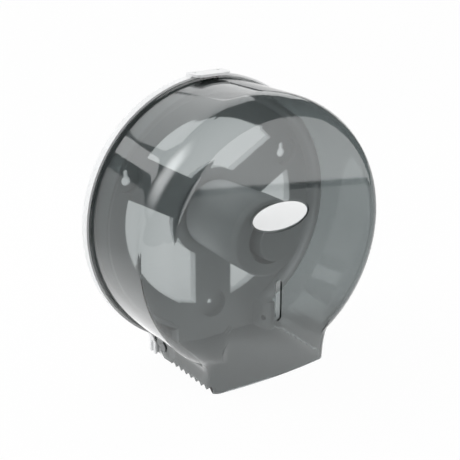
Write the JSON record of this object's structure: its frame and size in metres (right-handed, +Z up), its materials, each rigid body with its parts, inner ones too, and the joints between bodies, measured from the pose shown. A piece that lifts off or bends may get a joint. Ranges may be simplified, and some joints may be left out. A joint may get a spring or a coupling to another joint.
{
  "type": "jumbo toilet roll dispenser",
  "caption": "Wall-hung drum dispenser: white moulded back plate, fixed axle with a turning core spool, smoke-clear cover that tips open on foot pins, and a spring latch.",
  "frame": {"origin": "on the wall plane, where the drum's axis meets it", "axes": "+X to the right seen from the front, +Y into the wall along the drum's axis, +Z up"},
  "size_m": [0.268, 0.1208, 0.2723],
  "materials": {
    "white_abs": "satin moulded",
    "grey_abs": "satin moulded",
    "badge_white": "smooth",
    "zinc_steel": "zinc plated",
    "smoke_clear": "polished, clear smoke grey"
  },
  "bodies": {
    "plate": {"back_plate": "white_abs", "axle": "grey_abs", "axle_screws": "zinc_steel", "axle_cap": "white_abs", "latch_keeper": "grey_abs", "latch_spring_left": "zinc_steel", "latch_spring_right": "zinc_steel", "hinge_pin_left": "grey_abs", "hinge_pin_right": "grey_abs"},
    "cover": {"front_cover": "smoke_clear", "badge": "badge_white"},
    "spool": {"core_sleeve": "grey_abs", "core_end_ring": "white_abs"},
    "latch": {"latch_slider": "grey_abs"}
  },
  "joints": [
    {"name": "cover_hinge", "type": "hinge", "parent": "plate", "child": "cover", "pos_m": [0, -0.0259, -0.1232], "axis": [1, 0, 0], "range_deg": [0, 90]},
    {"name": "spool_spin", "type": "hinge", "parent": "plate", "child": "spool", "pos_m": [0, 0, 0], "axis": [0, -1, 0], "continuous": true},
    {"name": "latch_slide", "type": "slide", "parent": "plate", "child": "latch", "axis": [0, 0, -1], "range_m": [0, 0.0035], "stiffness_N_per_m": 300, "springref_m": -0.002, "deforming": ["latch_spring_left", "latch_spring_right"]}
  ]
}
